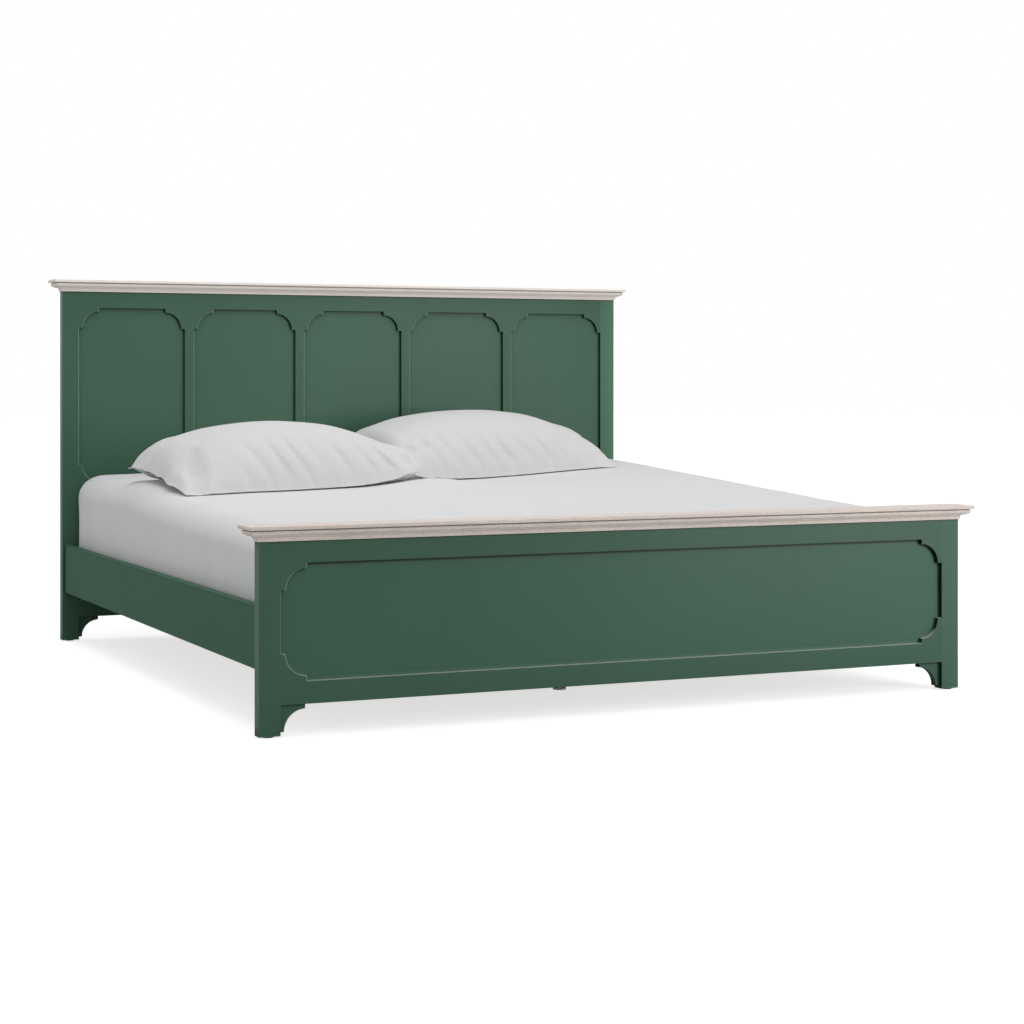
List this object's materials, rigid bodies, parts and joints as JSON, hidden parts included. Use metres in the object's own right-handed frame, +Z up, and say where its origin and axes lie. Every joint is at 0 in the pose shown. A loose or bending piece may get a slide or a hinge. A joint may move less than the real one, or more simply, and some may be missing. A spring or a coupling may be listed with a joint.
{
  "type": "king size bed",
  "caption": "King size bed: panelled headboard and footboard with moulded cornices, side rails, slats, mattress in a fitted sheet, pillows in cases.",
  "frame": {"origin": "on the floor at the middle of the bed's footprint", "axes": "+X to the right seen from the foot, +Y from the foot to the head, +Z up"},
  "size_m": [2.095, 2.2054, 1.1875],
  "materials": {
    "painted_wood": "satin paint, dark green",
    "washed_wood": "whitewashed open grain, matt",
    "bare_wood": "planed, uncoated",
    "zinc_steel": "zinc plated",
    "glide_plastic": "moulded",
    "mattress_core": "knitted ticking",
    "sheet_cotton": "smooth weave",
    "pillow_fill": "plain weave",
    "pillowcase_cotton": "smooth weave"
  },
  "bodies": {
    "bed_frame": {"footboard_left_post": "painted_wood", "footboard_right_post": "painted_wood", "footboard_top_rail": "painted_wood", "footboard_bottom_rail": "painted_wood", "footboard_left_bracket": "painted_wood", "footboard_right_bracket": "painted_wood", "headboard_left_post": "painted_wood", "headboard_right_post": "painted_wood", "headboard_top_rail": "painted_wood", "headboard_bottom_rail": "painted_wood", "headboard_left_bracket": "painted_wood", "headboard_right_bracket": "painted_wood", "footboard_panel": "painted_wood", "headboard_middle_rail": "painted_wood", "headboard_lower_panel": "painted_wood", "headboard_mullion_1": "painted_wood", "headboard_mullion_2": "painted_wood", "headboard_mullion_3": "painted_wood", "headboard_mullion_4": "painted_wood", "headboard_panel_1": "painted_wood", "headboard_panel_2": "painted_wood", "headboard_panel_3": "painted_wood", "headboard_panel_4": "painted_wood", "headboard_panel_5": "painted_wood", "footboard_cornice_front": "washed_wood", "footboard_cornice_back": "washed_wood", "footboard_cornice_left": "washed_wood", "footboard_cornice_right": "washed_wood", "headboard_cornice_front": "washed_wood", "headboard_cornice_back": "washed_wood", "headboard_cornice_left": "washed_wood", "headboard_cornice_right": "washed_wood", "footboard_cap_board": "washed_wood", "headboard_cap_board": "washed_wood", "left_side_rail": "painted_wood", "right_side_rail": "painted_wood", "left_slat_ledger": "bare_wood", "right_slat_ledger": "bare_wood", "slats": "bare_wood", "centre_beam": "bare_wood", "beam_cleats": "bare_wood", "centre_leg_1": "bare_wood", "centre_leg_2": "bare_wood", "centre_leg_3": "bare_wood", "ledger_screws": "zinc_steel", "rail_hook_plates": "zinc_steel", "post_catch_plates": "zinc_steel", "plate_screws": "zinc_steel", "slat_screws": "zinc_steel", "leg_hanger_bolts": "zinc_steel", "post_glides": "glide_plastic"},
    "mattress": {"mattress": "mattress_core", "fitted_sheet": "sheet_cotton"},
    "pillow_left": {"pillow_left": "pillow_fill", "pillowcase_left": "pillowcase_cotton"},
    "pillow_right": {"pillow_right": "pillow_fill", "pillowcase_right": "pillowcase_cotton"},
    "levelling_foot_1": {"levelling_foot_1": "zinc_steel"},
    "levelling_foot_2": {"levelling_foot_2": "zinc_steel"},
    "levelling_foot_3": {"levelling_foot_3": "zinc_steel"}
  },
  "joints": [
    {"name": "mattress_lift", "type": "slide", "parent": "bed_frame", "child": "mattress", "axis": [0, 0, 1], "range_m": [0, 0.35]},
    {"name": "pillow_left_lift", "type": "slide", "parent": "mattress", "child": "pillow_left", "axis": [0, 0, 1], "range_m": [0, 0.3]},
    {"name": "pillow_right_lift", "type": "slide", "parent": "mattress", "child": "pillow_right", "axis": [0, 0, 1], "range_m": [0, 0.3]},
    {"name": "levelling_foot_1_screw", "type": "slide", "parent": "bed_frame", "child": "levelling_foot_1", "axis": [0, 0, 1], "range_m": [-0.012, 0.01]},
    {"name": "levelling_foot_2_screw", "type": "slide", "parent": "bed_frame", "child": "levelling_foot_2", "axis": [0, 0, 1], "range_m": [-0.012, 0.01]},
    {"name": "levelling_foot_3_screw", "type": "slide", "parent": "bed_frame", "child": "levelling_foot_3", "axis": [0, 0, 1], "range_m": [-0.012, 0.01]}
  ]
}
